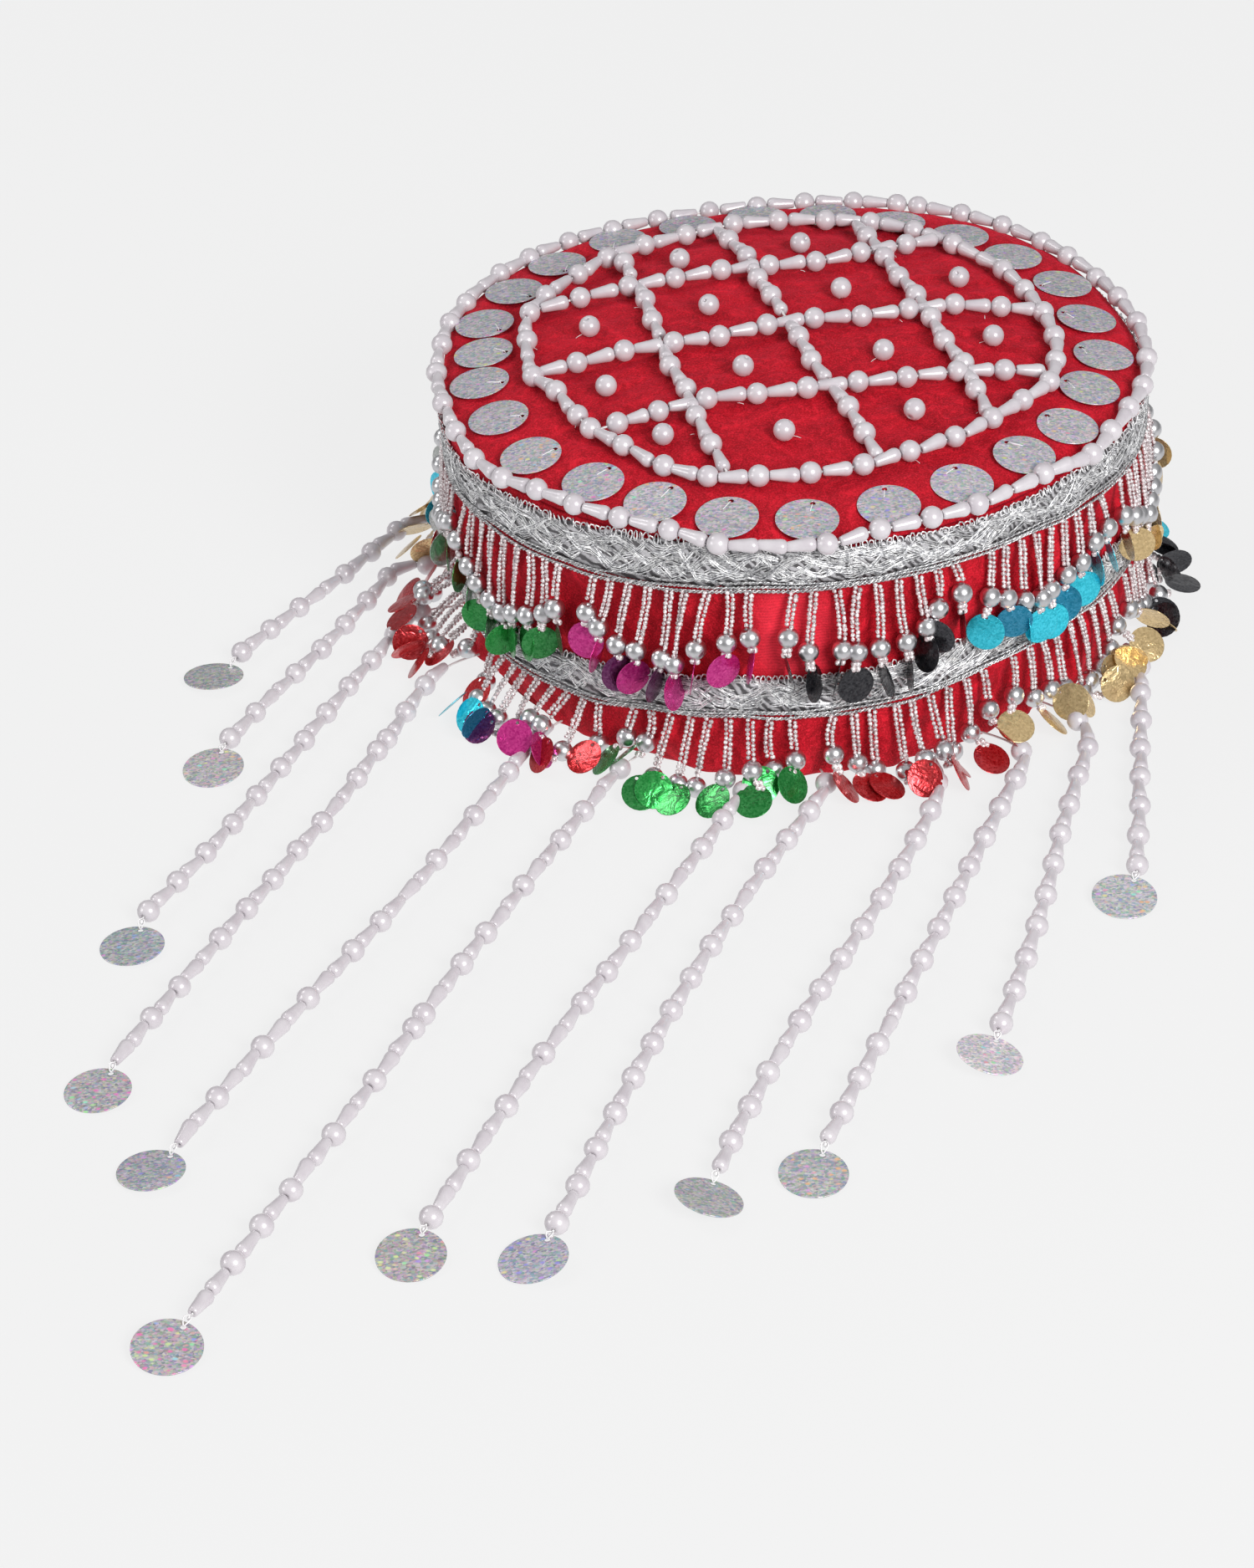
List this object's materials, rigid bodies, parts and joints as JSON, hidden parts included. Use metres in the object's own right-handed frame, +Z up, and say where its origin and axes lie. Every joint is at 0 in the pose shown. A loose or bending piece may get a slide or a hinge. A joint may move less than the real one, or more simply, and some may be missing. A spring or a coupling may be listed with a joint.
{
  "type": "beaded velvet pillbox cap",
  "caption": "Round red velvet pillbox cap with strings of white beads and silver paillettes on its flat crown, silver braids with beaded fringes, and long bead strands laid out in front",
  "frame": {"origin": "middle of the laid-out box, on the surface that the cap stands on", "axes": "+Z up through the crown; +Y from the ends of the strands towards the back of the cap; +X to the right as the picture shows it"},
  "size_m": [0.2746, 0.4012, 0.0827],
  "materials": {
    "velvet": "crushed pile velvet",
    "pearl": "polished, faintly pink",
    "lurex_braid": "flat metallic threads",
    "fringe_beads": "silver-lined clear seeds with small foil paillettes",
    "paillette_foil": "grained silver foil with pastel flecks"
  },
  "bodies": {
    "root": {"crown_panel": "velvet", "side_band": "velvet", "upper_braid": "lurex_braid", "lower_braid": "lurex_braid", "upper_fringe": "fringe_beads", "lower_fringe": "fringe_beads", "border_bead_string": "pearl", "inner_bead_ring": "pearl", "crown_lattice_strings": "pearl", "cell_pearl_01": "pearl", "cell_pearl_02": "pearl", "cell_pearl_03": "pearl", "cell_pearl_04": "pearl", "cell_pearl_05": "pearl", "cell_pearl_06": "pearl", "cell_pearl_07": "pearl", "cell_pearl_08": "pearl", "cell_pearl_09": "pearl", "cell_pearl_10": "pearl", "cell_pearl_11": "pearl", "cell_pearl_12": "pearl", "cell_pearl_13": "pearl", "crown_paillettes_1": "paillette_foil", "crown_paillettes_2": "paillette_foil", "crown_paillettes_3": "paillette_foil", "crown_paillettes_4": "paillette_foil", "pearl_strand_01": "pearl", "pearl_strand_02": "pearl", "pearl_strand_03": "pearl", "pearl_strand_04": "pearl", "pearl_strand_05": "pearl", "pearl_strand_06": "pearl", "pearl_strand_07": "pearl", "pearl_strand_08": "pearl", "pearl_strand_09": "pearl", "pearl_strand_10": "pearl", "pearl_strand_11": "pearl", "pearl_strand_12": "pearl", "end_paillette_01": "paillette_foil", "end_paillette_02": "paillette_foil", "end_paillette_03": "paillette_foil", "end_paillette_04": "paillette_foil", "end_paillette_05": "paillette_foil", "end_paillette_06": "paillette_foil", "end_paillette_07": "paillette_foil", "end_paillette_08": "paillette_foil", "end_paillette_09": "paillette_foil", "end_paillette_10": "paillette_foil", "end_paillette_11": "paillette_foil", "end_paillette_12": "paillette_foil"}
  },
  "joints": []
}
